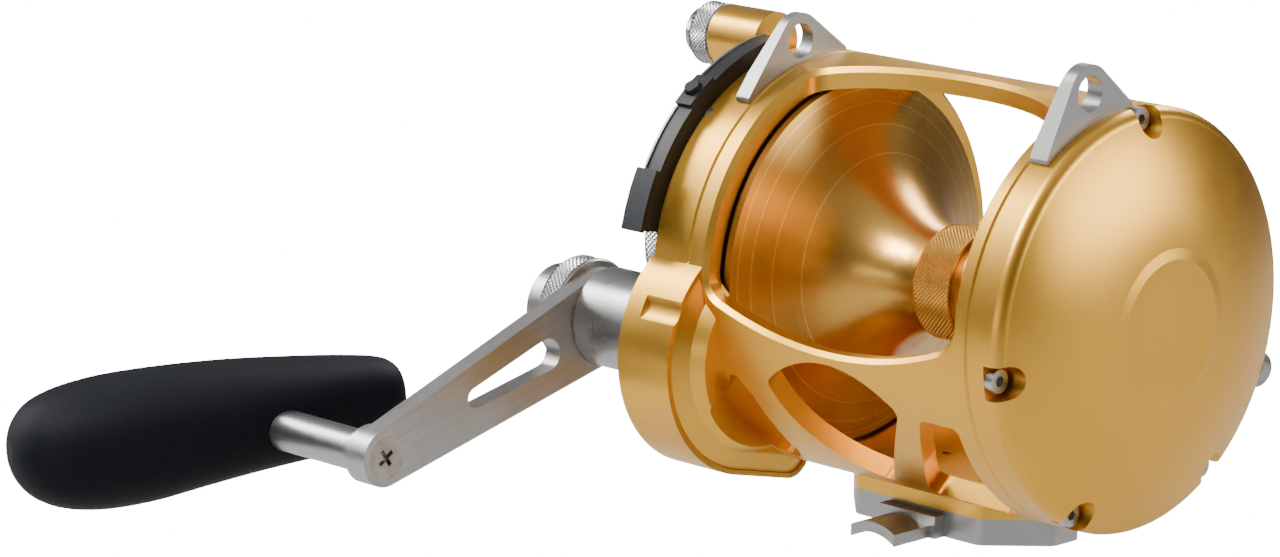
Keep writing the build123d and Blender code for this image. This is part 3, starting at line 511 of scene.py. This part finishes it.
def turned_piece(name, profile, axis, pitch, depth, body, finish):
    """A closed turned piece from (x, radius, knurled) stations, in metres.

    Between a station marked knurled and the next one the surface carries the pattern."""
    largest = max(radius for _, radius, _ in profile)
    count = round(2 * math.pi * largest / pitch)
    columns = count * SAMPLES_PER_DIAMOND
    rows = []
    for (x0, r0, knurled), (x1, r1, _) in zip(profile, profile[1:]):
        steps = max(1, round(abs(x1 - x0) / pitch * SAMPLES_PER_DIAMOND)) if knurled else 1
        rows += [(x0 + (x1 - x0) * i / steps, r0 + (r1 - r0) * i / steps, knurled and i > 0)
                 for i in range(steps)]
    rows.append(profile[-1])
    points = []
    for x, radius, knurled in rows:
        for column in range(columns):
            turn = 2 * math.pi * column / columns
            cut = depth * (1 - diamond(column / SAMPLES_PER_DIAMOND, x / pitch)) if knurled else 0.0
            out = radius - cut
            points.append((x, axis[0] + out * math.cos(turn), axis[1] + out * math.sin(turn)))
    faces = []
    for row in range(len(rows) - 1):
        for column in range(columns):
            right_one = (column + 1) % columns
            a, b = row * columns, (row + 1) * columns
            faces.append((a + column, b + column, b + right_one, a + right_one))
    faces.append(tuple(range(columns)))
    faces.append(tuple(reversed(range((len(rows) - 1) * columns, len(rows) * columns))))
    return new_piece(name, points, faces, body, finish)


def new_piece(name, points, faces, body, finish, sharp=35.0):
    mesh = bpy.data.meshes.new(name)
    mesh.from_pydata(points, [], faces)
    mesh.update()
    mesh.validate()
    made = bpy.data.objects.new(name, mesh)
    bpy.context.scene.collection.objects.link(made)
    mesh.materials.append(finish.material)
    mesh.shade_smooth()
    mesh.set_sharp_from_angle(angle=math.radians(sharp))
    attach(made, body)
    return made


# %% Preset knob and thumb knob
def rim_of(node):
    """The largest radius of a node that is round about X."""
    low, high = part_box(node)
    return (high.z - low.z) / 2


x_out, x_in = ends_of("preset_knob")
rim = rim_of("preset_knob")
x_back = x_in - 2.6 * MM
preset = turned_piece("preset_knob_knurled", [
    (x_out, rim - 1.8 * MM, False), (x_out + 1.2 * MM, rim - 0.3 * MM, True),
    (x_out + 1.5 * MM, rim, True), (x_back - 1.4 * MM, rim, True), (x_back - 1.1 * MM, rim - 0.3 * MM, False),
    (x_back, rim - 1.4 * MM, False), (x_back, 18 * MM, False), (x_in, 18 * MM, False)],
    SPOOL_AXIS, 1.6 * MM, 0.5 * MM, "preset_set", silver_preset)
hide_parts("preset_knob")

x_out, x_in = ends_of("lever_thumb_knob")
rim = rim_of("lever_thumb_knob")
thumb = turned_piece("lever_thumb_knob_knurled", [
    (x_out, 6.0 * MM, False), (x_out + 0.8 * MM, 7.0 * MM, False), (x_out + 3.4 * MM, 7.6 * MM, False),
    (x_out + 4.3 * MM, rim - 0.3 * MM, True), (x_out + 4.6 * MM, rim, True),
    (x_in - 0.6 * MM, rim, True), (x_in - 0.5 * MM, rim - 0.1 * MM, False), (x_in, rim - 0.5 * MM, False)],
    THUMB_AXIS, 1.35 * MM, 0.42 * MM, "lever_thumb", silver_thumb)
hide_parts("lever_thumb_knob")
print("preset knob", len(preset.data.vertices), "points, thumb knob", len(thumb.data.vertices))

# %% Ring nut
x_out, x_in = ends_of("hub_nut_ring")
rim = rim_of("hub_nut_ring")
nut = turned_piece("hub_nut_ring_knurled", [
    (x_out, rim - 3.0 * MM, False), (x_out, rim - 1.0 * MM, False), (x_out + 0.7 * MM, rim - 0.2 * MM, True),
    (x_out + 0.9 * MM, rim, True), (x_in - 0.6 * MM, rim, True), (x_in - 0.5 * MM, rim - 0.2 * MM, False),
    (x_in, rim - 0.6 * MM, False)],
    CRANK_AXIS, 1.55 * MM, 0.5 * MM, "crank", silver_hub)
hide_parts("hub_nut_ring")
print("ring nut", len(nut.data.vertices), "points")

# %% [markdown]
# The spool's arbor carries a knurled band in its middle, so that the first turns of line
# grip it.  It is a sleeve that sits on the CAD arbor's raised band and turns with it.

# %% Arbor band
BAND_HALF = 6.4 * MM
BAND_R = 15.8 * MM


def sleeve(name, x0, x1, inner, outer, axis, pitch, depth, body, finish):
    """An open knurled tube, with its ends turned down to the inner radius."""
    count = round(2 * math.pi * outer / pitch)
    columns = count * SAMPLES_PER_DIAMOND
    steps = round((x1 - x0) / pitch * SAMPLES_PER_DIAMOND)
    stations = [(x0, inner, False)]
    stations += [(x0 + (x1 - x0) * i / steps, outer, 0 < i < steps) for i in range(steps + 1)]
    stations += [(x1, inner, False)]
    points, faces = [], []
    for x, radius, knurled in stations:
        for column in range(columns):
            turn = 2 * math.pi * column / columns
            cut = depth * (1 - diamond(column / SAMPLES_PER_DIAMOND, (x - x0) / pitch)) if knurled else 0.0
            out = radius - cut
            points.append((x, axis[0] + out * math.cos(turn), axis[1] + out * math.sin(turn)))
    for row in range(len(stations)):
        below = (row + 1) % len(stations)
        for column in range(columns):
            beside = (column + 1) % columns
            faces.append((row * columns + column, below * columns + column,
                          below * columns + beside, row * columns + beside))
    return new_piece(name, points, faces, body, finish)


band = sleeve("arbor_knurl", -BAND_HALF, BAND_HALF, BAND_R - 0.4 * MM, BAND_R + 0.55 * MM, SPOOL_AXIS,
              1.3 * MM, 0.5 * MM, "spool_set", gold_spool)
print("arbor band", len(band.data.vertices), "points")

# %% [markdown]
# The grip is a soft rubber T-bar, shaped to the palm: deep and round at its outer end,
# with a flatter back and a belly, and slimmer where the last fingers close.  It is lofted
# through sections set along a leaning spine.  Each section gives its place on the spine,
# how far the rubber reaches above, below and to each side of the stem, and how square it
# is.

# %% Grip sections
GRIP_LEAN = math.radians(25)
SPINE = Vector((-math.sin(GRIP_LEAN), -math.cos(GRIP_LEAN), 0))
SIDE = Vector((-math.cos(GRIP_LEAN), math.sin(GRIP_LEAN), 0))
SECTIONS = [  # along the spine, top, bottom, depth away from the reel, depth towards it, squareness; in mm
    (-48.3, 7.0, -1.0, 4.5, 4.5, 2.2),
    (-46.6, 12.0, -6.4, 9.0, 9.2, 2.5),
    (-42.0, 14.6, -9.6, 11.4, 12.2, 2.7),
    (-30.0, 15.9, -11.4, 13.0, 15.6, 2.6),
    (-16.0, 16.6, -12.9, 14.0, 18.8, 2.5),
    (0.0, 17.1, -15.6, 15.2, 20.6, 2.4),
    (14.0, 17.0, -18.6, 16.3, 21.2, 2.3),
    (28.0, 16.3, -21.6, 17.4, 21.0, 2.3),
    (42.0, 15.0, -23.1, 18.2, 20.4, 2.2),
    (54.0, 12.3, -21.9, 17.6, 18.4, 2.2),
    (62.0, 8.8, -18.4, 14.6, 14.8, 2.1),
    (66.5, 4.0, -13.4, 9.6, 9.6, 2.0),
    (68.3, -0.6, -8.6, 4.4, 4.4, 2.0),
]
SECTION_COLUMNS = 56
STEPS_BETWEEN = 4


def smooth_between(values, place):
    """Catmull-Rom reading of a list at a fractional index."""
    i = min(int(place), len(values) - 2)
    t = place - i
    p0, p1, p2, p3 = (values[max(0, min(len(values) - 1, i + k))] for k in (-1, 0, 1, 2))
    return 0.5 * (2 * p1 + (p2 - p0) * t + (2 * p0 - 5 * p1 + 4 * p2 - p3) * t * t
                  + (3 * p1 - p0 - 3 * p2 + p3) * t ** 3)


def superellipse(turn, power):
    c, s = math.cos(turn), math.sin(turn)
    return (math.copysign(abs(c) ** (2 / power), c), math.copysign(abs(s) ** (2 / power), s))


def grip_points():
    spots = []
    count = (len(SECTIONS) - 1) * STEPS_BETWEEN
    columns_of = list(zip(*SECTIONS))
    for row in range(count + 1):
        along, top, bottom, away, towards, power = (smooth_between(c, row / STEPS_BETWEEN) for c in columns_of)
        mid, half = (top + bottom) / 2, (top - bottom) / 2
        for column in range(SECTION_COLUMNS):
            side, rise = superellipse(2 * math.pi * column / SECTION_COLUMNS, power)
            depth = side * (away if side > 0 else towards)
            spots.append(stem_middle + (SPINE * along + SIDE * depth
                                        + Vector((0, 0, mid + half * rise))) * MM)
    return spots, count + 1


# %% Grip
SPINE_CROSSES_X = -0.170  # x where the spine crosses the stem's axis
stem_middle = Vector((SPINE_CROSSES_X, STEM_AXIS[0], STEM_AXIS[1]))
points, rows = grip_points()
faces = [(r * SECTION_COLUMNS + c, r * SECTION_COLUMNS + (c + 1) % SECTION_COLUMNS,
          (r + 1) * SECTION_COLUMNS + (c + 1) % SECTION_COLUMNS, (r + 1) * SECTION_COLUMNS + c)
         for r in range(rows - 1) for c in range(SECTION_COLUMNS)]
faces.append(tuple(reversed(range(SECTION_COLUMNS))))
faces.append(tuple(range((rows - 1) * SECTION_COLUMNS, rows * SECTION_COLUMNS)))
grip = new_piece("grip_rubber", points, faces, "grip_set", grip_rubber, sharp=60.0)
round_off = grip.modifiers.new("round", "SUBSURF")
round_off.levels = round_off.render_levels = 1
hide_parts("grip")
print("grip", len(points), "points, spine leans", round(math.degrees(GRIP_LEAN), 1), "degrees")

# %% Sizes, and the end
picture_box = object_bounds()
for end, picture_end, cad_end in zip(("low", "high"), picture_box, cad_box):
    print(end, "end differs in mm by", [round((p - c) / MM, 2) for p, c in zip(picture_end, cad_end)])
